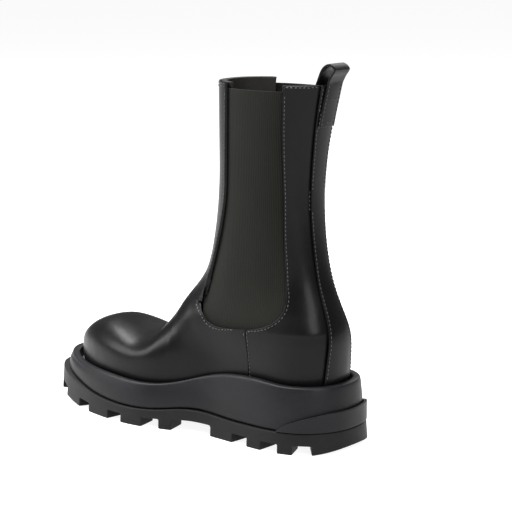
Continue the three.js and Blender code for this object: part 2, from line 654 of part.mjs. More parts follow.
function counterPoint(share, row, level) {
  const angle = Math.PI + share * COUNTER_TURN;
  if (row.margin) return lastedHeelPoint(() => angle, row, level);
  const low = seat(ring(angle, RIM_HEIGHT_HEEL, level).x) + WALL_FOOT - level;
  return ring(angle, lerp(low, counterTop(share), row.share), level);
}

addPiece('heel_counter',
  layer(steps(-1, 1, 14), lastedRows(4), counterPoint, MID_OUT - GAP / 2, MID_IN - GAP / 2), 'stiffener');

// Back strip: covers the seam between the quarters, from the sole to the topline.
function backStripPoint(share, z, level) {
  const half = backstayHalf(z);
  const side = share < 0 ? -1 : 1;
  const edge = Math.PI - Math.abs(angleAtBackWidth(half, z, side));
  return ring(Math.PI - share * edge, z, level);
}

const STRIP_HEIGHTS = [HEEL_LOW, ...WALL_HEIGHTS, 90, 102, 112, ...SHAFT_HEIGHTS];
addPiece('back_strip',
  layer(steps(-1, 1, 4), STRIP_HEIGHTS, backStripPoint, BACKSTAY_OUT, BACKSTAY_IN), 'leather');

// Elastic gores.
function gorePoint(side, share, row, level) {
  const lowX = lerp(GORE_FRONT_X + GORE_TUCK, GORE_REAR_X - GORE_TUCK, share);
  const low = goreBottom(clamp(lowX, GORE_REAR_X, GORE_FRONT_X)) - GORE_TUCK;
  const z = lerp(low, GORE_TOP, row);
  const front = angleAtX(goreFront(z) + GORE_TUCK, z, side);
  const rear = angleAtX(Math.min(quarterFront(z), GORE_REAR_X) - GORE_TUCK, z, side);
  return ring(lerp(front, rear, share), z, level);
}
const GORE_ROWS = [0, 0.06, 0.13, 0.21, 0.3, 0.4, 0.5, 0.6, 0.7, 0.8, 0.9, 1];
for (const [side, name] of [[1, 'outer'], [-1, 'inner']]) {
  const point = (share, row, level) => gorePoint(side, share, row, level);
  addPiece(`gore_${name}`, layer(steps(0, 1, 8), GORE_ROWS, point, MID_OUT, MID_IN), 'elastic');
}

// Pull strap: two sewn ends and the loop above the topline.
const strapAngle = (z, level, share) => {
  const radius = SHAFT_CENTRE - ring(Math.PI, z, level).x;
  return Math.PI - Math.asin((share * STRAP_WIDTH) / 2 / radius);
};
const strapPoint = (share, z, level) => ring(strapAngle(z, level, share), z, level);
const OUTER_END_IN = BACKSTAY_OUT + GAP;
const INNER_END_OUT = LINING_IN - GAP;
const OUTER_END_HEIGHTS = steps(TOP_HEIGHT - ANCHOR_LENGTH, TOP_HEIGHT, 4);
const INNER_END_HEIGHTS = steps(TOP_HEIGHT - INNER_ANCHOR_LENGTH, TOP_HEIGHT, 3);
addPiece('strap_end_outer',
  layer(steps(-1, 1, 4), OUTER_END_HEIGHTS, strapPoint, OUTER_END_IN + STRAP, OUTER_END_IN), 'leather');
addPiece('strap_end_inner',
  layer(steps(-1, 1, 4), INNER_END_HEIGHTS, strapPoint, INNER_END_OUT, INNER_END_OUT - STRAP), 'leather');

function loopPath() {
  const back = ring(Math.PI, TOP_HEIGHT, OUTER_END_IN + STRAP / 2).x;
  const front = ring(Math.PI, TOP_HEIGHT, INNER_END_OUT - STRAP / 2).x;
  const low = TOP_HEIGHT + LOOP_FLEX_GAP;
  const top = LOOP_TOP - STRAP / 2;
  const middle = (back + front) / 2 - LOOP_LEAN;
  const half = LOOP_ROOM / 2 + STRAP / 2;
  const rise = (share) => lerp(low, top, share);
  const line = [
    [back, low], [lerp(back, middle - half, LOOP_BOW), rise(LOOP_BOW_RISE)],
    [middle - half, rise(LOOP_SHOULDER)], [middle, top], [middle + half, rise(LOOP_SHOULDER)],
    [lerp(front, middle + half, LOOP_BOW), rise(LOOP_BOW_RISE)], [front, low],
  ];
  return new THREE.CatmullRomCurve3(line.map(([x, z]) => new THREE.Vector3(x, 0, z)), false, 'centripetal');
}

function loopGeometry() {
  const path = loopPath();
  const turns = steps(0, 1, 16);
  const edge = (t, offset) => {
    const p = path.getPointAt(t);
    const along = path.getTangentAt(t);
    return new THREE.Vector3(p.x - along.z * offset, 0, p.z + along.x * offset);
  };
  const grid = (offset) => turns.map((t) => steps(-1, 1, 4).map((share) => {
    const p = edge(t, offset);
    p.y = (share * STRAP_WIDTH) / 2;
    return p;
  }));
  return skin(grid(STRAP / 2), grid(-STRAP / 2));
}
addPiece('pull_loop', loopGeometry(), 'leather');

// ---- Inside the foot ------------------------------------------------------------------------------
/** A flat piece filling the foot between stations: outline(station) gives its edge in plan. */
function plate(arcs, across, outline, low, high) {
  const solid = new CellSolid();
  const row = (arc, height) => {
    const a = outline(station(arc, 1));
    const b = outline(station(arc, -1));
    return steps(0, 1, across).map((t) => {
      const x = lerp(a.x, b.x, t);
      return new THREE.Vector3(x, lerp(a.y, b.y, t), height(x));
    });
  };
  for (let i = 0; i + 1 < arcs.length; i++) {
    const rows = [row(arcs[i], low), row(arcs[i + 1], low), row(arcs[i], high), row(arcs[i + 1], high)];
    for (let k = 0; k < across; k++) {
      const corners = (p, q) => [p[k], q[k], q[k + 1], p[k + 1]];
      solid.add(corners(rows[0], rows[1]), corners(rows[2], rows[3]));
    }
  }
  return solid.geometry();
}

const allArcs = (spacing = STATION_STEP) => {
  const count = Math.round((EDGE_ARC - spacing) / spacing);
  return steps(spacing / 2, EDGE_ARC - spacing / 2, count);
};
const arcsBetween = (front, back) => steps(arcAtX(front), arcAtX(back),
  Math.ceil((arcAtX(back) - arcAtX(front)) / STATION_STEP));
const insideEdge = (above) => (s) => footWall(s, above, LINING_IN - BOARD_CLEARANCE);
const aboveSeat = (offset) => (x) => seat(x) + offset;

addPiece('insole_board', plate(allArcs(), 2, insideEdge(BOARD_LOW), aboveSeat(BOARD_LOW),
  aboveSeat(BOARD_LOW + BOARD)), 'board');
addPiece('footbed_foam', plate(allArcs(), 2, insideEdge(BOARD_LOW), aboveSeat(CUSHION_LOW),
  aboveSeat(CUSHION_LOW + CUSHION)), 'foam');
addPiece('sock_lining', plate(allArcs(), 2, insideEdge(BOARD_LOW), aboveSeat(SOCK_LOW),
  aboveSeat(SOCK_LOW + SOCK)), 'lining');

const insideMargin = (s) => {
  const wall = footWall(s, WALL_PROBE, 0);
  const inset = MARGIN + MARGIN_CLEARANCE;
  return new THREE.Vector3(wall.x - s.out.x * inset, wall.y - s.out.y * inset, 0);
};
const SHANK_LOW = BOARD_LOW - GAP - SHANK;
addPiece('forefoot_filler', plate(arcsBetween(FILLER_TOE, SHANK_FRONT + 3), 2, insideMargin, aboveSeat(GAP),
  aboveSeat(BOARD_LOW - GAP)), 'cork');
addPiece('heel_filler', plate(arcsBetween(SHANK_FRONT + 2, FILLER_HEEL), 2, insideMargin, aboveSeat(GAP),
  aboveSeat(SHANK_LOW - GAP)), 'cork');

function strip(from, to, half, low, high) {
  const xs = steps(from, to, 12);
  const point = (x, y, height) => new THREE.Vector3(x, centreLine(x) + y, height(x));
  const grid = (height) => xs.map((x) => [-half, half].map((y) => point(x, y, height)));
  return skin(grid(high), grid(low));
}
addPiece('shank', strip(SHANK_REAR, SHANK_FRONT, SHANK_WIDTH / 2, aboveSeat(SHANK_LOW),
  aboveSeat(BOARD_LOW - GAP)), 'steel');

// ---- Sole -------------------------------------------------------------------------------------------
const SHELL_INSET = WALL_INSET + WALL_LEAN + RIM_WIDTH;
const onEdge = (arc, side, inset, height) => {
  const p = insetEdge(arc, side, inset);
  return new THREE.Vector3(p.x, p.y, height(p.x));
};

/** Adds cells right across the sole between two insets' inner edges. */
function addAcross(solid, arcs, across, inset, low, high, keep = () => true) {
  const row = (arc, height) => {
    const a = insetEdge(arc, 1, inset);
    const b = insetEdge(arc, -1, inset);
    return steps(0, 1, across).map((t) => {
      const x = lerp(a.x, b.x, t);
      return new THREE.Vector3(x, lerp(a.y, b.y, t), height(x));
    });
  };
  for (let i = 0; i + 1 < arcs.length; i++) {
    const rows = [row(arcs[i], low), row(arcs[i + 1], low), row(arcs[i], high), row(arcs[i + 1], high)];
    for (let k = 0; k < across; k++) {
      if (!keep(i, k)) continue;
      const corners = (p, q) => [p[k], q[k], q[k + 1], p[k + 1]];
      solid.add(corners(rows[0], rows[1]), corners(rows[2], rows[3]));
    }
  }
}

/** Adds cells all round the edge; each corner is a function of (arc, side) that gives a point. */
function addRound(solid, arcs, outerLow, outerHigh, innerLow, innerHigh, keep = () => true) {
  const outerSide = arcs.map((arc, i) => [arc, 1, i]);
  const innerSide = arcs.map((arc, i) => [arc, -1, i - 1]).reverse();
  const around = [...outerSide, ...innerSide];
  for (let n = 0; n < around.length; n++) {
    const [arcA, sideA, cell] = around[n];
    const [arcB, sideB] = around[(n + 1) % around.length];
    if (!keep(sideA === sideB ? cell : -1)) continue;
    const corners = (point) => [point(arcA, sideA), point(arcB, sideB)];
    const [ol, oh, il, ih] = [outerLow, outerHigh, innerLow, innerHigh].map(corners);
    solid.add([ol[0], ol[1], oh[1], oh[0]], [il[0], il[1], ih[1], ih[0]]);
  }
}

// Outsole: a plate with blocks round its edge and down its middle.
function lugCuts() {
  const edges = [];
  for (const x of NOTCHES) {
    const arc = arcAtX(x);
    edges.push([arc - NOTCH_WIDTH / 2, arc + NOTCH_WIDTH / 2]);
  }
  edges.push([arcAtX(ARCH_FRONT), arcAtX(ARCH_REAR)]);
  return edges.sort((a, b) => a[0] - b[0]);
}

function lugStations() {
  const cuts = lugCuts();
  const arcs = [];
  const isLug = [];
  let here = STATION_STEP / 2;
  for (const [from, to] of [...cuts, [EDGE_ARC - STATION_STEP / 2, EDGE_ARC]]) {
    const parts = Math.max(1, Math.round((from - here) / LUG_STEP));
    for (const arc of steps(here, from, parts).slice(0, -1)) {
      arcs.push(arc);
      isLug.push(true);
    }
    const cutParts = Math.max(1, Math.round((to - from) / NOTCH_WIDTH));
    const inner = to === EDGE_ARC ? [from] : steps(from, to, cutParts).slice(0, -1);
    for (const arc of inner) {
      arcs.push(arc);
      isLug.push(false);
    }
    here = to;
  }
  return { arcs, isLug };
}

/** Moves a point of the outsole forward at the toe, where it stands out in front of the wall. */
function pushToeOut(p) {
  const x = p.x;
  p.x += TOE_BUMPER * Math.max(0, (x - TOE_START) / TOE_ROUNDING) ** 2;
  p.z += ledge(p.x) - ledge(x);
}

function outsoleGeometry() {
  const solid = new CellSolid();
  const { arcs, isLug } = lugStations();
  const at = (inset, height) => (arc, side) => onEdge(arc, side, inset, height);
  const flareAt = OUTSOLE_FLARE / 2;
  const plateEdge = at(flareAt, plateBottom);
  const plateInner = at(LUG_DEPTH, plateBottom);
  addRound(solid, arcs, plateEdge, at(OUTSOLE_FLARE, ledge), plateInner, at(LUG_DEPTH, ledge));
  addAcross(solid, arcs, 3, LUG_DEPTH, plateBottom, ledge);
  const hasLug = (cell) => cell < 0 || isLug[cell];
  addRound(solid, arcs, at(0, ground), plateEdge, at(LUG_DEPTH, ground), plateInner, hasLug);
  addAcross(solid, arcs, 3, LUG_DEPTH, ground, plateBottom, (i, k) => k === 1 && isLug[i]);
  solid.points.forEach(pushToeOut);
  return solid.geometry();
}
addPiece('outsole', outsoleGeometry(), 'rubber');

// Rubber cup: a tall wall with a flat rim round a floor.
function shellGeometry() {
  const solid = new CellSolid();
  const arcs = allArcs();
  const base = (x) => ledge(x) + BED_GAP;
  const floor = (x) => ledge(x) + BED_GAP + SHELL_FLOOR;
  const middle = (x) => lerp(floor(x), rim(x), 0.5);
  const rows = [[0, base], [0, floor], [0.3, middle], [0.7, (x) => rim(x) - RIM_ROLL], [1, rim]];
  for (let r = 0; r + 1 < rows.length; r++) {
    const outer = rows.slice(r, r + 2).map(([lean, height]) =>
      (arc, side) => onEdge(arc, side, WALL_INSET + WALL_LEAN * lean, height));
    const inner = rows.slice(r, r + 2).map(([, height]) =>
      (arc, side) => onEdge(arc, side, SHELL_INSET, height));
    addRound(solid, arcs, outer[0], outer[1], inner[0], inner[1]);
  }
  addAcross(solid, arcs, 2, SHELL_INSET, base, floor);
  return solid.geometry();
}
addPiece('sole_wall', shellGeometry(), 'rubber');

const coreSolid = new CellSolid();
const coreLow = (x) => ledge(x) + 2 * BED_GAP + SHELL_FLOOR;
addAcross(coreSolid, allArcs(), 2, SHELL_INSET + GAP, coreLow, aboveSeat(-BED_GAP));
addPiece('sole_core', coreSolid.geometry(), 'foam');

// Heel band: a raised strip round the heel that tapers to a point on each side.
function bandGeometry() {
  const arcs = steps(arcAtX(BAND_START), EDGE_ARC, 9);
  const round = [...arcs.map((arc) => [arc, 1]), ...[...arcs].reverse().slice(1).map((arc) => [arc, -1])];
  const grid = (inset) => round.map(([arc, side]) => [0, 0.5, 1].map((share) => {
    const p = insetEdge(arc, side, inset);
    return new THREE.Vector3(p.x, p.y, lerp(ledge(p.x) + BED_GAP, bandTop(p.x) + BAND_TIP, share));
  }));
  return skin(grid(BAND_INSET), grid(WALL_INSET - GAP));
}
addPiece('heel_band', bandGeometry(), 'rubber');

export default boots;
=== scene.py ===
"""A left chelsea boot of smooth black leather on a lugged rubber sole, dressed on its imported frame.

The leather, elastic, rubber and linings are refined copies of the frame's solids. Stitching,
seams, edge dressing and the tread's fine shape are added here. Metres, +X to the toe, +Y to
the outer side of the foot, +Z up, origin on the ground.
"""
import logging
import math
from collections.abc import Callable, Iterable
from dataclasses import dataclass, field
from enum import Enum

import bmesh
import bpy
from mathutils import Matrix, Vector
from mathutils.bvhtree import BVHTree


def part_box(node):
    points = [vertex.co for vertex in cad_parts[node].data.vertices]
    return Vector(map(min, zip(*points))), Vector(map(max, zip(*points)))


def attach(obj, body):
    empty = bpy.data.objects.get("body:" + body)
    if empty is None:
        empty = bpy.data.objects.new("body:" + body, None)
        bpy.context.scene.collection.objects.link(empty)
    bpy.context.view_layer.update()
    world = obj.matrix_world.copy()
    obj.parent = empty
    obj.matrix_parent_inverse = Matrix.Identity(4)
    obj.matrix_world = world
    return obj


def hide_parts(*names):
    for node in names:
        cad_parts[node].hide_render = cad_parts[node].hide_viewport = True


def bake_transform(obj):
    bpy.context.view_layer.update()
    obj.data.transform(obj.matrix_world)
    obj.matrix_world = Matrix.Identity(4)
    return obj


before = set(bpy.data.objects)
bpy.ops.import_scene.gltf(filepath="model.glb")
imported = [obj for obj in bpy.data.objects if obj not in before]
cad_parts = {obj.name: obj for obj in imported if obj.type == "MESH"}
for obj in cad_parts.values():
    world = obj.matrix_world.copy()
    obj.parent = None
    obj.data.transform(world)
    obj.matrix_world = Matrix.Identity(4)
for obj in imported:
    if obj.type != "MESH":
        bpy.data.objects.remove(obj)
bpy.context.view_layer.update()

MM = 0.001
WELD = 0.02 * MM
FLAT_JOIN = math.radians(35)
SHARP = math.radians(48)
WAVE_UNITS = 20                     # the Wave texture's scale for one radian a metre
SPLINE_STEPS = 12
log = logging.getLogger("boot")


class Slot(Enum):
    """Material slots of the record; the builders tell the lining pieces apart by them."""

    UPPER = "upper_leather"
    LINING = "lining_leather"
    ELASTIC = "elastic"
    RUBBER = "sole_rubber"
    STIFFENER = "stiffener"
    BOARD = "fibreboard"
    FOAM = "foam"
    CORK = "cork"
    STEEL = "shank_steel"


class Body(Enum):
    """Bodies of the frame that the pieces ride on."""

    FOOT = "foot"
    FRONT = "front_shaft"
    LOOP = "pull_loop"


# ---- Shader building ------------------------------------------------------------------------


class Sock:
    """One output of a node, with Python's arithmetic for numbers."""

    def __init__(self, sheet: "Sheet", out: bpy.types.NodeSocket) -> None:
        """Wraps a socket.

        Args:
            sheet: the material that the node belongs to.
            out: the output socket.
        """
        self.sheet = sheet
        self.out = out

    def _math(self, operation: str, *values: "Sock | float") -> "Sock":
        """Adds a Math node.

        Args:
            operation: the node's operation.
            *values: what its inputs take.

        Returns:
            The node's result.
        """
        return self.sheet.node("ShaderNodeMath", {"operation": operation}, dict(enumerate(values)))

    def __add__(self, other: "Sock | float") -> "Sock":
        """Adds a number."""
        return self._math("ADD", self, other)

    def __sub__(self, other: "Sock | float") -> "Sock":
        """Takes a number away."""
        return self._math("SUBTRACT", self, other)

    def __rsub__(self, other: float) -> "Sock":
        """Takes this away from a number."""
        return self._math("SUBTRACT", other, self)

    def __mul__(self, other: "Sock | float") -> "Sock":
        """Multiplies by a number."""
        return self._math("MULTIPLY", self, other)

    __radd__ = __add__
    __rmul__ = __mul__

    def above(self, low: float, high: float) -> "Sock":
        """Goes smoothly from 0 at low to 1 at high.

        Args:
            low: value that gives 0.
            high: value that gives 1.

        Returns:
            The share between them.
        """
        settings = {"interpolation_type": "SMOOTHSTEP", "clamp": True}
        return self.sheet.node("ShaderNodeMapRange", settings, {0: self, 1: low, 2: high})


class Sheet:
    """A material under construction: one Principled shader and what feeds it."""

    def __init__(self, name: str) -> None:
        """Starts an empty material.

        Args:
            name: the material's name.
        """
        self.material = bpy.data.materials.new(name)
        self.material.use_nodes = True
        self.tree = self.material.node_tree
        self.shader = self.tree.nodes["Principled BSDF"]

    def node(self, kind: str, settings: dict | None = None, inputs: dict | None = None,
             output: int | str = 0) -> Sock:
        """Adds a node.

        Args:
            kind: the node's type.
            settings: its properties; "stops" gives a ramp's (place, colour) pairs.
            inputs: what its sockets take, by name or number.
            output: which output is wanted.

        Returns:
            That output.
        """
        made = self.tree.nodes.new(kind)
        for key, value in (settings or {}).items():
            if key == "stops":
                ramp = made.color_ramp
                while len(ramp.elements) < len(value):
                    ramp.elements.new(1.0)
                for element, (place, colour) in zip(ramp.elements, value):
                    element.position = place
                    element.color = (*colour, 1.0)
            else:
                setattr(made, key, value)
        for key, value in (inputs or {}).items():
            self.feed(made.inputs[key], value)
        return Sock(self, made.outputs[output])

    def feed(self, socket: bpy.types.NodeSocket, value: object) -> None:
        """Links a socket, or sets it.

        Args:
            socket: the input.
            value: an output to link, or a plain value.
        """
        if isinstance(value, Sock):
            self.tree.links.new(value.out, socket)
        else:
            socket.default_value = value

    def place(self, stretch: tuple[float, float, float] = (1, 1, 1)) -> Sock:
        """Object coordinates, stretched.

        Args:
            stretch: scale along each axis.

        Returns:
            The coordinates.
        """
        at = self.node("ShaderNodeTexCoord", output="Object")
        return self.node("ShaderNodeMapping", {}, {"Vector": at, "Scale": stretch})

    def noise(self, at: Sock, scale: float, detail: float = 2.0) -> Sock:
        """Soft noise between 0 and 1.

        Args:
            at: coordinates.
            scale: features per metre.
            detail: octaves.

        Returns:
            The noise.
        """
        return self.node("ShaderNodeTexNoise", {}, {"Vector": at, "Scale": scale, "Detail": detail})

    def cells(self, at: Sock, scale: float) -> Sock:
        """Distance to the nearest of many scattered points.

        Args:
            at: coordinates.
            scale: points per metre.

        Returns:
            The distance, in cells.
        """
        settings = {"feature": "SMOOTH_F1"}
        return self.node("ShaderNodeTexVoronoi", settings, {"Vector": at, "Scale": scale})

    def blend(self, share: Sock, low: Iterable[float], high: Iterable[float]) -> Sock:
        """Mixes two colours.

        Args:
            share: 0 for the first, 1 for the second.
            low: the first colour.
            high: the second colour.

        Returns:
            The colour.
        """
        inputs = {0: share, 6: (*low, 1.0), 7: (*high, 1.0)}
        return self.node("ShaderNodeMix", {"data_type": "RGBA"}, inputs, output=2)

    def bump(self, height: Sock, depth: float, under: Sock | None = None) -> Sock:
        """Turns a height into a normal.

        Args:
            height: height between 0 and 1.
            depth: what 1 stands for, in metres.
            under: another normal that this one adds to.

        Returns:
            The normal.
        """
        inputs = {"Height": height, "Distance": depth, "Strength": 1.0}
        if under is not None:
            inputs["Normal"] = under
        return self.node("ShaderNodeBump", {}, inputs)

    def finish(self, links: dict[str, object]) -> bpy.types.Material:
        """Feeds the shader.

        Args:
            links: values or outputs by the shader's socket name.

        Returns:
            The material.
        """
        for key, value in links.items():
            self.feed(self.shader.inputs[key], value)
        return self.material


Colour = tuple[float, float, float]


@dataclass(frozen=True)
class SmoothLeather:
    """Polished calf leather: fine pebbled grain, soft cloudy sheen and pores."""

    name: str
    tone: Colour
    light_tone: Colour
    roughness: float
    grain_per_metre: float = 950.0
    grain_depth: float = 0.05 * MM
    coat: float = 0.05
    gloss: float = 0.1

    def material(self) -> bpy.types.Material:
        """Builds the material."""
        sheet = Sheet(self.name)
        at = sheet.place()
        clouds = sheet.noise(at, 22.0, 3.0)
        scuffs = sheet.noise(sheet.place((1.0, 1.0, 0.35)), 140.0, 4.0)
        grain = sheet.cells(at, self.grain_per_metre)
        pores = sheet.noise(at, 2.4 * self.grain_per_metre, 1.0)
        waves = sheet.noise(at, 60.0, 2.0)
        colour = sheet.blend(clouds.above(0.3, 0.75), self.tone, self.light_tone)
        rough = self.roughness + (clouds - 0.5) * 0.14 + (scuffs - 0.5) * 0.10 + grain * 0.05
        soft = sheet.bump(waves, 0.25 * MM)
        normal = sheet.bump(grain + pores * 0.35, self.grain_depth, soft)
        return sheet.finish({
            "Base Color": colour, "Roughness": rough, "Normal": normal,
            "Coat Weight": self.coat, "Coat Roughness": 0.2, "Specular IOR Level": self.gloss,
        })


@dataclass(frozen=True)
class RibbedElastic:
    """Woven elastic: upright covered-rubber ribs crossed by fine weft threads, with painted shade in the
    grooves between the ribs.
    """

    name: str = "ribbed_elastic"
    tone: Colour = (0.0042, 0.0042, 0.0033)
    light_tone: Colour = (0.0084, 0.0084, 0.0067)
    ribs_per_metre: float = 640.0
    threads_per_metre: float = 1500.0

    def material(self) -> bpy.types.Material:
        """Builds the material."""
        sheet = Sheet(self.name)
        at = sheet.place()
        bands = {"wave_type": "BANDS", "bands_direction": "X", "wave_profile": "SIN"}
        wave = {"Vector": at, "Distortion": 0.0}
        turns = 2 * math.pi / WAVE_UNITS
        ribs = sheet.node("ShaderNodeTexWave", bands, {**wave, "Scale": self.ribs_per_metre * turns}, "Fac")
        across = {**bands, "bands_direction": "Z"}
        fine = {**wave, "Scale": self.threads_per_metre * turns}
        weft = sheet.node("ShaderNodeTexWave", across, fine, "Fac")
        lint = sheet.noise(at, 2600.0, 2.0)
        clouds = sheet.noise(at, 35.0, 3.0)
        height = ribs * 0.75 + weft * 0.25 * ribs + lint * 0.25
        # colour is darker in the grooves between the ribs and paler on their crests: painted shade, mixed
        # with random lint and cloud tone
        shade = ribs * 0.45 + lint * 0.35 + clouds * 0.3
        return sheet.finish({
            "Base Color": sheet.blend(shade.above(0.2, 0.95), self.tone, self.light_tone),
            "Roughness": 0.82 + lint * 0.12, "Normal": sheet.bump(height, 0.09 * MM),
            "Sheen Weight": 0.03, "Sheen Roughness": 0.5, "Specular IOR Level": 0.1,
        })


@dataclass(frozen=True)
class MouldedRubber:
    """Satin moulded rubber: a fine eroded mould texture, faint dust and flow marks."""

    name: str
    tone: Colour
    light_tone: Colour
    roughness: float
    texture_depth: float = 0.045 * MM

    def material(self) -> bpy.types.Material:
        """Builds the material."""
        sheet = Sheet(self.name)
        at = sheet.place()
        fine = sheet.noise(at, 1900.0, 3.0)
        clouds = sheet.noise(sheet.place((0.5, 0.5, 1.6)), 30.0, 4.0)
        speck = sheet.noise(at, 420.0, 2.0)
        shade = clouds * 0.7 + speck * 0.3
        rough = self.roughness + (clouds - 0.5) * 0.16 + (speck - 0.5) * 0.08
        soft = sheet.bump(sheet.noise(at, 90.0, 2.0), 0.12 * MM)
        return sheet.finish({
            "Base Color": sheet.blend(shade.above(0.3, 0.75), self.tone, self.light_tone),
            "Roughness": rough, "Normal": sheet.bump(fine, self.texture_depth, soft),
            "Specular IOR Level": 0.16,
        })


@dataclass(frozen=True)
class Thread:
    """Bonded sewing thread with its twist."""

    name: str = "sewing_thread"
    tone: Colour = (0.014, 0.014, 0.015)
    light_tone: Colour = (0.036, 0.036, 0.039)

    def material(self) -> bpy.types.Material:
        """Builds the material."""
        sheet = Sheet(self.name)
        at = sheet.place()
        twist = sheet.noise(at, 3500.0, 1.0)
        return sheet.finish({
            "Base Color": sheet.blend(twist, self.tone, self.light_tone),
            "Roughness": 0.42 + twist * 0.2, "Normal": sheet.bump(twist, 0.05 * MM),
        })


@dataclass(frozen=True)
class Paper:
    """Seamless studio paper that glows a little, so that it stays pale far from the lights."""

    name: str = "studio_paper"
    tone: Colour = (0.30, 0.30, 0.30)
    light_tone: Colour = (0.32, 0.32, 0.32)
    glow: float = 0.90

    def material(self) -> bpy.types.Material:
        """Builds the material."""
        sheet = Sheet(self.name)
        mottle = sheet.noise(sheet.place(), 40.0)
        return sheet.finish({
            "Base Color": sheet.blend(mottle, self.tone, self.light_tone), "Roughness": 0.9,
            "Emission Color": (1.0, 1.0, 1.0, 1.0), "Emission Strength": self.glow,
        })


@dataclass(frozen=True)
class Stock:
    """Sheet or block material of the hidden pieces: fibres, granules or bubbles by their scale."""

    name: str
    tone: Colour
    light_tone: Colour
    roughness: float
    grain_per_metre: float
    depth: float
    stretch: tuple[float, float, float] = (1.0, 1.0, 1.0)
    metallic: float = 0.0

    def material(self) -> bpy.types.Material:
        """Builds the material."""
        sheet = Sheet(self.name)
        at = sheet.place(self.stretch)
        grain = sheet.cells(at, self.grain_per_metre)
        fine = sheet.noise(at, 2.0 * self.grain_per_metre, 3.0)
        shade = grain * 0.5 + fine * 0.5
        return sheet.finish({
            "Base Color": sheet.blend(shade.above(0.15, 0.85), self.tone, self.light_tone),
            "Roughness": self.roughness + (fine - 0.5) * 0.2,
            "Normal": sheet.bump(shade, self.depth), "Metallic": self.metallic,
        })


UPPER = SmoothLeather("upper_leather", (0.0022, 0.0022, 0.0024), (0.0040, 0.0040, 0.0044), 0.34)
LINING = SmoothLeather("lining_leather", (0.011, 0.0105, 0.010), (0.021, 0.020, 0.019), 0.6,
                       grain_per_metre=700.0, grain_depth=0.08 * MM, coat=0.0)
ELASTIC = RibbedElastic()
RUBBER = MouldedRubber("wall_rubber", (0.0044, 0.0043, 0.0052), (0.0082, 0.0080, 0.0096), 0.46)
TREAD = MouldedRubber("tread_rubber", (0.0028, 0.0027, 0.0031), (0.0058, 0.0056, 0.0064), 0.54,
                      texture_depth=0.07 * MM)
THREAD = Thread()
PUFF = Stock("stiffener_sheet", (0.36, 0.33, 0.27), (0.5, 0.46, 0.4), 0.7, 900.0, 0.05 * MM)
BOARD = Stock("fibreboard", (0.3, 0.2, 0.11), (0.47, 0.35, 0.22), 0.8, 700.0, 0.06 * MM, (1.0, 0.2, 1.0))
FOAM = Stock("foam", (0.025, 0.025, 0.028), (0.06, 0.06, 0.066), 0.9, 1400.0, 0.2 * MM)
CORK = Stock("cork", (0.3, 0.17, 0.08), (0.55, 0.37, 0.2), 0.85, 420.0, 0.25 * MM)
STEEL = Stock("shank_steel", (0.4, 0.4, 0.42), (0.6, 0.6, 0.62), 0.35, 500.0, 0.01 * MM,
              (0.1, 1.0, 1.0), 1.0)
FLOOR = Paper()


class Wardrobe:
    """Keeps one material of each finish."""

    def __init__(self) -> None:
        """Starts with none made."""
        self.made: dict[str, bpy.types.Material] = {}

    def __getitem__(self, finish: object) -> bpy.types.Material:
        """The finish's material, made at its first use."""
        if finish.name not in self.made:
            self.made[finish.name] = finish.material()
        return self.made[finish.name]


WARDROBE = Wardrobe()


# ---- Mesh tools -----------------------------------------------------------------------------


def frame_mesh(*nodes: str) -> bmesh.types.BMesh:
    """Copies frame nodes into one mesh, merged and with its quads restored.

    Args:
        *nodes: names of the frame's nodes.

    Returns:
        The mesh.
    """
    bm = bmesh.new()
    for node in nodes:
        bm.from_mesh(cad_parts[node].data)
    bmesh.ops.remove_doubles(bm, verts=bm.verts, dist=WELD)
    bmesh.ops.join_triangles(bm, faces=bm.faces, angle_face_threshold=FLAT_JOIN,
                             angle_shape_threshold=math.radians(60))
    return bm


def sharp_edges(bm: bmesh.types.BMesh, angle: float = SHARP) -> list[bmesh.types.BMEdge]:
    """Edges where a mesh turns sharply.

    Args:
        bm: the mesh.
        angle: the least turn.

    Returns:
        The edges.
    """
    return [e for e in bm.edges if e.is_manifold and e.calc_face_angle() > angle]


def round_edges(bm: bmesh.types.BMesh, radius: float, angle: float = SHARP) -> None:
    """Rounds the sharp edges.

    Args:
        bm: the mesh.
        radius: width of the rounding.
        angle: the least turn that is rounded.
    """
    bmesh.ops.bevel(bm, geom=sharp_edges(bm, angle), offset=radius, offset_type="OFFSET",
                    segments=2, profile=0.5, affect="EDGES", clamp_overlap=True, material=-1)


def join_rims(bm: bmesh.types.BMesh, walls: Iterable[bmesh.types.BMFace]) -> None:
    """Opens two facing walls and joins the rims that they leave.

    Args:
        bm: the mesh.
        walls: the faces of both walls.
    """
    bmesh.ops.delete(bm, geom=list(walls), context="FACES")
    bmesh.ops.bridge_loops(bm, edges=[e for e in bm.edges if e.is_boundary])
    bmesh.ops.recalc_face_normals(bm, faces=bm.faces)


def slit_walls(bm: bmesh.types.BMesh, upper: Callable[[bmesh.types.BMFace], bool]) -> set:
    """The faces of both walls of a slit.

    Args:
        bm: the mesh.
        upper: says whether a face is part of the wall above the slit.

    Returns:
        The faces, with the nearest narrow face below each upper one.
    """
    above = {f for f in bm.faces if upper(f)}
    widest = 2.0 * max(f.calc_area() for f in above)
    others = [f for f in bm.faces if f not in above and f.calc_area() < widest
              and sum(e.is_manifold and e.calc_face_angle() > SHARP for e in f.edges) > 1]
    below = set()
    for wall in sorted(above, key=lambda f: abs(f.calc_center_median().y)):
        middle = wall.calc_center_median()
        free = [f for f in others if f not in below]
        below.add(min(free, key=lambda f: (f.calc_center_median() - middle).length))
    log.info("slit of %d and %d faces", len(above), len(below))
    return above | below


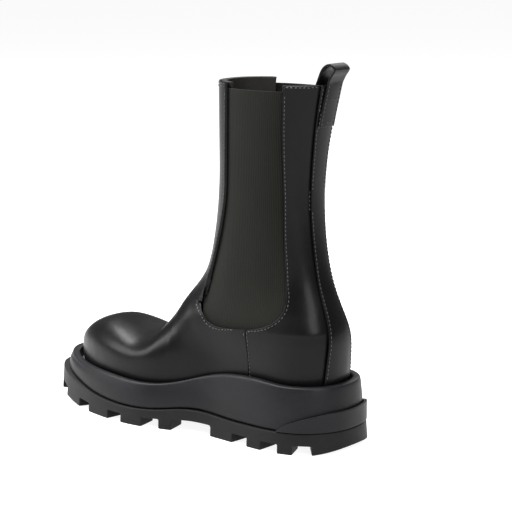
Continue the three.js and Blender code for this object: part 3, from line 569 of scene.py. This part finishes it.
def round_corner(bm: bmesh.types.BMesh, radius: float) -> None:
    """Rounds a rear panel's top front corner, seen from the side.

    Args:
        bm: the panel's mesh.
        radius: radius of the corner.
    """
    top = max(v.co.z for v in bm.verts)
    front = max(v.co.x for v in bm.verts if v.co.z > top - 0.5 * MM)
    corner = [e for e in sharp_edges(bm) if all(v.co.z > top - 0.5 * MM and v.co.x > front - 2 * MM
                                                 for v in e.verts)]
    through = [e for e in corner if all(abs(f.normal.dot(Vector((0, 1, 0)))) < 0.8 for f in e.link_faces)]
    bmesh.ops.bevel(bm, geom=through, offset=radius, offset_type="OFFSET", segments=3, profile=0.5,
                    affect="EDGES", clamp_overlap=True, material=-1)


def flare_top(bm: bmesh.types.BMesh, reach: float) -> None:
    """Turns a lining's top edge outwards until it meets the leather.

    Args:
        bm: the lining's mesh.
        reach: how far its outer corner moves.
    """
    top = max(v.co.z for v in bm.verts)
    rim = [f for f in bm.faces if f.normal.z > 0.8 and f.calc_center_median().z > top - 0.5 * MM]
    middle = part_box("gore_outer")
    axis = Vector(((middle[0].x + middle[1].x) / 2, 0, 0))
    corners = {v for f in rim for v in f.verts}
    for vert in corners:
        near = min((v for v in corners if v is not vert), key=lambda v: (v.co - vert.co).length)
        out = (vert.co - axis) * Vector((1, 1, 0))
        if out.length > ((near.co - axis) * Vector((1, 1, 0))).length:
            vert.co += out.normalized() * reach


def make_piece(name: str, bm: bmesh.types.BMesh, finish: object,
               levels: int = 2) -> bpy.types.Object:
    """Turns a mesh into a smooth shaded piece.

    Args:
        name: the piece's name.
        bm: its mesh, which is freed.
        finish: what it is made of.
        levels: subdivisions.

    Returns:
        The object, not yet on a body.
    """
    mesh = bpy.data.meshes.new(name)
    bm.to_mesh(mesh)
    bm.free()
    mesh.shade_smooth()
    mesh.materials.clear()
    mesh.materials.append(WARDROBE[finish])
    piece = bpy.data.objects.new(name, mesh)
    bpy.context.scene.collection.objects.link(piece)
    if levels:
        smooth = piece.modifiers.new("smooth", "SUBSURF")
        smooth.levels = levels
        smooth.render_levels = levels
    log.info("%s: %d faces before smoothing", name, len(mesh.polygons))
    return piece


def surface_of(pieces: Iterable[bpy.types.Object]) -> BVHTree:
    """The pieces' final surface, for points to be put on.

    Args:
        pieces: the objects.

    Returns:
        A search tree over their faces.
    """
    graph = bpy.context.evaluated_depsgraph_get()
    bm = bmesh.new()
    for piece in pieces:
        done = piece.evaluated_get(graph)
        bm.from_mesh(done.to_mesh())
        done.to_mesh_clear()
    tree = BVHTree.FromBMesh(bm)
    bm.free()
    return tree


def spline(points: list[Vector], pitch: float) -> list[Vector]:
    """Evenly spaced points on a smooth curve through others.

    Args:
        points: the points it passes through.
        pitch: the spacing wanted.

    Returns:
        The points, both ends included.
    """
    ends = [points[0] * 2 - points[1], *points, points[-1] * 2 - points[-2]]
    dense: list[Vector] = []
    for a, b, c, d in zip(ends, ends[1:], ends[2:], ends[3:]):
        for step in range(SPLINE_STEPS):
            t = step / SPLINE_STEPS
            dense.append(0.5 * (2 * b + (c - a) * t + (2 * a - 5 * b + 4 * c - d) * t ** 2
                                + (3 * b - a - 3 * c + d) * t ** 3))
    dense.append(points[-1])
    length = sum((q - p).length for p, q in zip(dense, dense[1:]))
    count = max(2, round(length / pitch))
    even = [dense[0]]
    walked, target = 0.0, length / count
    for p, q in zip(dense, dense[1:]):
        span = (q - p).length
        while span > 0 and walked + span >= target - 1e-9 and len(even) < count:
            even.append(p.lerp(q, (target - walked) / span))
            target += length / count
        walked += span
    return [*even, dense[-1]]


def border_runs(node: str, keep: Callable[[Vector], bool]) -> list[list[Vector]]:
    """The outer borders of a skin-like frame node, as runs of points.

    Args:
        node: the frame's node.
        keep: says from an edge's middle whether it is wanted.

    Returns:
        One list of points for each unbroken run.
    """
    bm = frame_mesh(node)
    links: dict[int, list[int]] = {}
    for edge in sharp_edges(bm):
        middle = (edge.verts[0].co + edge.verts[1].co) / 2
        faces = sorted(edge.link_faces, key=lambda f: f.calc_area())
        if keep(middle) and faces[-1].normal.dot(middle - inner_line(middle)) > 0:
            a, b = (v.index for v in edge.verts)
            links.setdefault(a, []).append(b)
            links.setdefault(b, []).append(a)
    bm.verts.ensure_lookup_table()
    runs: list[list[Vector]] = []
    unused = set(links)
    while unused:
        tips = [v for v in unused if len(links[v]) == 1] or list(unused)
        run = [min(tips)]
        unused.discard(run[0])
        while step := [v for v in links[run[-1]] if v in unused]:
            run.append(step[0])
            unused.discard(step[0])
        if len(run) > 2:
            runs.append([bm.verts[v].co.copy() for v in run])
    bm.free()
    return runs


def inner_line(point: Vector) -> Vector:
    """The point inside the boot that a point of its skin faces away from.

    Args:
        point: a point of the skin.

    Returns:
        A point on the middle line of the shaft or of the foot.
    """
    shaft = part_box("front_shaft_lining")
    if point.z > shaft[0].z:
        return Vector((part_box("gore_outer")[0].x * 0.7, 0, point.z))
    return Vector((max(min(point.x, 0.1), -0.09), 0, 0.055))


# ---- Stitching ------------------------------------------------------------------------------


@dataclass
class StitchRow:
    """A row of lockstitches sunk into a surface, a given way in from a border."""

    pitch: float = 3.1 * MM
    length: float = 2.3 * MM
    width: float = 0.7 * MM
    rise: float = 0.14 * MM
    sides: int = 6
    rings: int = 5

    def add(self, bm: bmesh.types.BMesh, border: list[Vector], inset: float, tree: BVHTree,
            inwards: Callable[[Vector], Vector]) -> None:
        """Adds the row's stitches to a mesh.

        Args:
            bm: the mesh.
            border: points of the border.
            inset: distance of the row from it.
            tree: the surface.
            inwards: gives a rough direction into the panel at a point.
        """
        line: list[Vector] = []
        fine = spline(border, self.pitch / 2)
        for before, here, after in zip(fine, fine[1:], fine[2:]):
            _, normal, _, _ = tree.find_nearest(here)
            along = (after - before).normalized()
            aside = normal.cross(along).normalized()
            if aside.dot(inwards(here)) < 0:
                aside.negate()
            line.append(here + aside * inset)
        for before, middle, after in zip(line[::2], line[1::2], line[2::2]):
            spot, normal, _, _ = tree.find_nearest(middle)
            along = (after - before).normalized()
            side = normal.cross(along).normalized()
            up = along.cross(side)
            turn = Matrix((along, side, up)).transposed().to_4x4()
            size = Matrix.Diagonal((self.length / 2, self.width / 2, self.width / 2, 1.0))
            place = Matrix.Translation(spot + up * self.rise)
            bmesh.ops.create_uvsphere(bm, u_segments=self.sides, v_segments=self.rings, radius=1.0,
                                      matrix=place @ turn @ size)


# ---- Upper ----------------------------------------------------------------------------------


@dataclass
class Upper:
    """The leather, elastic and linings, with their seams and stitching."""

    edge_radius: float = 0.55 * MM
    lining_radius: float = 0.3 * MM
    flange: float = 2.2 * MM
    corner_radius: float = 3.6 * MM
    seam_inset: float = 1.7 * MM
    second_row: float = 4.2 * MM
    flex_low: float = 0.088
    flex_high: float = 0.124
    hinge_x: float = -0.0005
    strip_foot: float = 0.108
    vamp_foot: float = 0.08
    vamp_front: float = -0.02
    gore_foot: float = 0.0875
    off_seam: float = 0.02
    off_strip: float = 0.012
    side_top: float = 0.087
    side_rear: float = -0.078
    strip_start: float = 0.055
    strap_crease: float = 11.5 * MM
    strap_half: float = 7.2 * MM
    panels: list[bpy.types.Object] = field(default_factory=list)

    def flex(self, piece: bpy.types.Object) -> None:
        """Bakes a piece's placement into its mesh.

        Args:
            piece: the object.
        """
        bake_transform(piece)

    def front(self, name: str, foot_node: str, shaft_node: str, finish: object, slot: Slot,
              radius: float, levels: int) -> bpy.types.Object:
        """The front of the boot in one sheet, from the sole to the topline.

        Args:
            name: the piece's name.
            foot_node: frame node below the instep line.
            shaft_node: frame node above it.
            finish: what it is made of.
            slot: the record's slot.
            radius: rounding of its edges.
            levels: subdivisions.

        Returns:
            The piece.
        """
        bm = frame_mesh(foot_node, shaft_node)
        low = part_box(shaft_node)[0].z

        def underside(face: bmesh.types.BMFace) -> bool:
            """Whether a face is the shaft's wall over the instep slit."""
            return face.normal.z < -0.8 and low < face.calc_center_median().z < low + 7 * MM

        join_rims(bm, slit_walls(bm, underside))
        if slot is Slot.LINING:
            flare_top(bm, self.flange + 0.6 * MM)
        round_edges(bm, radius)
        piece = make_piece(name, bm, finish, levels)
        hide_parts(foot_node, shaft_node)
        self.flex(piece)
        return piece

    def panel(self, node: str, name: str, finish: object, slot: Slot, radius: float,
              levels: int = 2) -> bpy.types.Object:
        """A smooth copy of a frame node.

        Args:
            node: the frame's node.
            name: the piece's name.
            finish: what it is made of.
            slot: the record's slot.
            radius: rounding of its edges.
            levels: subdivisions.

        Returns:
            The piece.
        """
        bm = frame_mesh(node)
        if slot is Slot.LINING:
            flare_top(bm, self.flange)
        if node.startswith("quarter"):
            round_corner(bm, self.corner_radius)
        round_edges(bm, radius)
        piece = make_piece(name, bm, finish, levels)
        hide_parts(node)
        return piece

    def build(self) -> None:
        """Builds the whole upper."""
        front = self.front("front_panel", "vamp", "front_shaft", UPPER, Slot.UPPER, self.edge_radius, 2)
        self.panels.append(front)
        self.front("front_lining", "vamp_lining", "front_shaft_lining", LINING, Slot.LINING,
                   self.lining_radius, 2)
        for side in ("outer", "inner"):
            quarter = self.panel(f"quarter_{side}", f"rear_panel_{side}", UPPER, Slot.UPPER,
                                 self.edge_radius, 3)
            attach(quarter, Body.FOOT.value)
            self.panels.append(quarter)
            gore = self.panel(f"gore_{side}", f"elastic_{side}", ELASTIC, Slot.ELASTIC, self.lining_radius)
            low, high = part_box(f"gore_{side}")
            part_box("front_shaft")[0].x + 2 * MM
            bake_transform(gore)
        strip = self.panel("back_strip", "heel_strip", UPPER, Slot.UPPER, self.edge_radius, 3)
        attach(strip, Body.FOOT.value)
        self.panels.append(strip)
        lining = self.panel("rear_lining", "heel_lining", LINING, Slot.LINING, self.lining_radius)
        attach(lining, Body.FOOT.value)
        self.pull_strap()
        self.stitching()

    def pull_strap(self) -> None:
        """The pull strap in one strip, from its outer sewn end over the loop to its inner one."""
        bm = frame_mesh("strap_end_outer", "pull_loop", "strap_end_inner")
        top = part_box("strap_end_outer")[1].z
        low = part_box("pull_loop")[0].z
        middle = (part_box("strap_end_outer")[1].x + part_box("strap_end_inner")[0].x) / 2

        for leg in (-1, 1):
            join_rims(bm, [f for f in bm.faces if abs(f.normal.z) > 0.7
                           and top - 0.2 * MM < f.calc_center_median().z < low + 0.4 * MM
                           and (f.calc_center_median().x - middle) * leg > 0])
        round_edges(bm, self.lining_radius)
        strap = make_piece("pull_strap", bm, UPPER, 3)
        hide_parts("strap_end_outer", "pull_loop", "strap_end_inner")
        self.panels.append(strap)
        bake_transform(strap)

    def stitching(self) -> None:
        """Rows of stitches along the panels' edges."""
        row = StitchRow()
        tree = surface_of(self.panels)
        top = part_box("front_shaft")[1].z
        topline = top - 0.5 * MM
        below_top = top - 3 * MM
        front_bm = bmesh.new()

        def forward(_: Vector) -> Vector:
            """Towards the toe."""
            return Vector((1, 0, 0))

        def down(_: Vector) -> Vector:
            """Towards the ground."""
            return Vector((0, 0, -1))

        def rearward(_: Vector) -> Vector:
            """Towards the heel."""
            return Vector((-1, 0, -0.6))

        for run in border_runs("front_shaft", lambda p: self.strip_foot < p.z < below_top):
            row.add(front_bm, run, self.seam_inset, tree, forward)
        for run in border_runs("front_shaft", lambda p: p.z > topline):
            row.add(front_bm, run, self.seam_inset, tree, down)
            row.add(front_bm, run, self.second_row, tree, down)
        for run in border_runs("vamp", lambda p: p.z > self.vamp_foot and p.x < self.vamp_front):
            row.add(front_bm, run, self.seam_inset, tree, down)
        piece = make_piece("front_stitching", front_bm, THREAD, 0)
        self.flex(piece)
        rear_bm = bmesh.new()
        for side in ("outer", "inner"):
            node = f"quarter_{side}"
            for run in border_runs(node, lambda p: self.gore_foot < p.z < below_top
                                   and abs(p.y) > self.off_seam):
                row.add(rear_bm, run, self.seam_inset, tree, rearward)
            for run in border_runs(node, lambda p: p.z > topline and abs(p.y) > self.off_strip):
                row.add(rear_bm, run, self.seam_inset, tree, down)
            for run in border_runs(node, lambda p: p.z < self.side_top and p.x > self.side_rear):
                row.add(rear_bm, run, self.seam_inset, tree, rearward)
        self.strip_stitches(rear_bm, row, tree, top)
        rear = make_piece("rear_stitching", rear_bm, THREAD, 0)
        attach(rear, Body.FOOT.value)

    def strip_stitches(self, bm: bmesh.types.BMesh, row: StitchRow, tree: BVHTree, top: float) -> None:
        """Stitches along the back strip's edges and round the pull strap's outer end.

        Args:
            bm: the mesh that they go to.
            row: how a row is sewn.
            tree: the upper's surface.
            top: height of the topline.
        """
        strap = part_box("strap_end_outer")
        heart = (strap[0] + strap[1]) / 2

        def to_middle(at: Vector) -> Vector:
            """Towards the middle of the strip."""
            return Vector((0, -at.y, 0))

        for way in (-1, 1):
            for run in border_runs("back_strip", lambda p: p.y * way > 1 * MM
                                   and self.strip_start < p.z < top - 2 * MM):
                row.add(bm, run, self.seam_inset, tree, to_middle)
            for run in border_runs("strap_end_outer", lambda p: p.y * way > 8 * MM):
                row.add(bm, run, self.seam_inset, tree, to_middle)
        for height in (strap[0].z + self.seam_inset, strap[1].z - self.strap_crease):
            across = [Vector((heart.x - 6 * MM, heart.y + share * self.strap_half, height))
                      for share in (-1, -0.5, 0, 0.5, 1)]
            row.add(bm, across, 0.0, tree, to_middle)


# ---- Sole -----------------------------------------------------------------------------------


@dataclass
class Sole:
    """The rubber cup, the lugged outsole, the heel band and the core."""

    wall_radius: float = 1.1 * MM
    lug_radius: float = 1.3 * MM
    band_radius: float = 1.2 * MM

    def build(self) -> None:
        """Builds the sole."""
        rows = [
            ("sole_wall", "rubber_cup", RUBBER, Slot.RUBBER, self.wall_radius, math.radians(40)),
            ("outsole", "tread", TREAD, Slot.RUBBER, self.lug_radius, math.radians(40)),
            ("heel_band", "heel_wedge", RUBBER, Slot.RUBBER, self.band_radius, math.radians(50)),
            ("sole_core", "cup_core", FOAM, Slot.FOAM, 0.5 * MM, SHARP),
        ]
        for node, name, finish, slot, radius, angle in rows:
            bm = frame_mesh(node)
            round_edges(bm, radius, angle)
            piece = make_piece(name, bm, finish, 2)
            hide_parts(node)
            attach(piece, Body.FOOT.value)


# ---- Inside the foot ------------------------------------------------------------------------


@dataclass
class Footbed:
    """The sheets and stiffeners that stand inside the foot."""

    radius: float = 0.25 * MM

    def build(self) -> None:
        """Builds every hidden piece as a smooth copy of its frame node."""
        rows = [
            ("insole_board", "board", BOARD, Slot.BOARD), ("footbed_foam", "cushion", FOAM, Slot.FOAM),
            ("sock_lining", "sock", LINING, Slot.LINING),
            ("forefoot_filler", "cork_front", CORK, Slot.CORK),
            ("heel_filler", "cork_rear", CORK, Slot.CORK), ("shank", "steel_shank", STEEL, Slot.STEEL),
            ("toe_puff", "toe_stiffener", PUFF, Slot.STIFFENER),
            ("heel_counter", "heel_stiffener", PUFF, Slot.STIFFENER),
        ]
        for node, name, finish, slot in rows:
            bm = frame_mesh(node)
            round_edges(bm, self.radius)
            piece = make_piece(name, bm, finish, 1)
            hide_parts(node)
            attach(piece, Body.FOOT.value)


# ---- Studio ---------------------------------------------------------------------------------


@dataclass
class Studio:
    """Camera, lights and floor."""

    camera_place: Vector = field(default_factory=lambda: Vector((-0.8652, 1.054, 0.391)))
    heading: float = math.radians(37.59)
    tilt: float = math.radians(10.85)
    lens: float = 124.5
    sensor: float = 36.0

    def build(self) -> None:
        """Sets up the studio."""
        scene = bpy.context.scene
        data = bpy.data.cameras.new("camera")
        data.lens = self.lens
        data.sensor_width = self.sensor
        camera = bpy.data.objects.new("camera", data)
        camera.location = self.camera_place
        level = math.cos(self.tilt)
        look = Vector((math.sin(self.heading) * level, -math.cos(self.heading) * level,
                       -math.sin(self.tilt)))
        camera.rotation_euler = look.to_track_quat("-Z", "Y").to_euler()
        scene.collection.objects.link(camera)
        scene.camera = camera
        scene.view_settings.view_transform = "Standard"
        self.floor()
        self.world()
        self.softbox("overhead", (0.35, 0.1, 1.5), (0.05, 0.0, 0.05), (1.6, 1.2), 110.0)
        self.softbox("key", (-1.5, 0.7, 1.1), (-0.05, 0.0, 0.15), (0.7, 1.5), 26.0)
        self.softbox("toe", (1.5, 1.1, 1.0), (0.05, 0.0, 0.1), (0.8, 1.2), 34.0)
        self.softbox("inner", (0.2, -1.7, 1.0), (0.0, 0.0, 0.15), (1.2, 1.2), 12.0)

    def floor(self) -> None:
        """A plain pale floor."""
        bm = bmesh.new()
        bmesh.ops.create_circle(bm, cap_ends=True, segments=96, radius=60.0)
        mesh = bpy.data.meshes.new("floor")
        bm.to_mesh(mesh)
        bm.free()
        mesh.materials.append(WARDROBE[FLOOR])
        floor = bpy.data.objects.new("floor", mesh)
        bpy.context.scene.collection.objects.link(floor)

    def world(self) -> None:
        """A pale surrounding light."""
        world = bpy.data.worlds.new("studio")
        world.use_nodes = True
        sky = world.node_tree.nodes["Background"]
        sky.inputs["Color"].default_value = (1.0, 1.0, 1.0, 1.0)
        sky.inputs["Strength"].default_value = 0.14
        bpy.context.scene.world = world

    def softbox(self, name: str, place: tuple[float, float, float], target: tuple[float, float, float],
                size: tuple[float, float], power: float) -> None:
        """Adds a soft area light.

        Args:
            name: the light's name.
            place: where it stands.
            target: what it faces.
            size: its width and height.
            power: in watts.
        """
        data = bpy.data.lights.new(name, "AREA")
        data.shape = "RECTANGLE"
        data.size, data.size_y = size
        data.energy = power
        light = bpy.data.objects.new(name, data)
        light.location = place
        light.rotation_euler = (Vector(target) - Vector(place)).to_track_quat("-Z", "Y").to_euler()
        bpy.context.scene.collection.objects.link(light)


def main() -> None:
    """Builds the boot and its studio."""
    logging.basicConfig(level=logging.INFO, format="%(message)s")
    Studio().build()
    Upper().build()
    Sole().build()
    Footbed().build()
    log.info("size written")


if __name__ == "__main__":
    main()
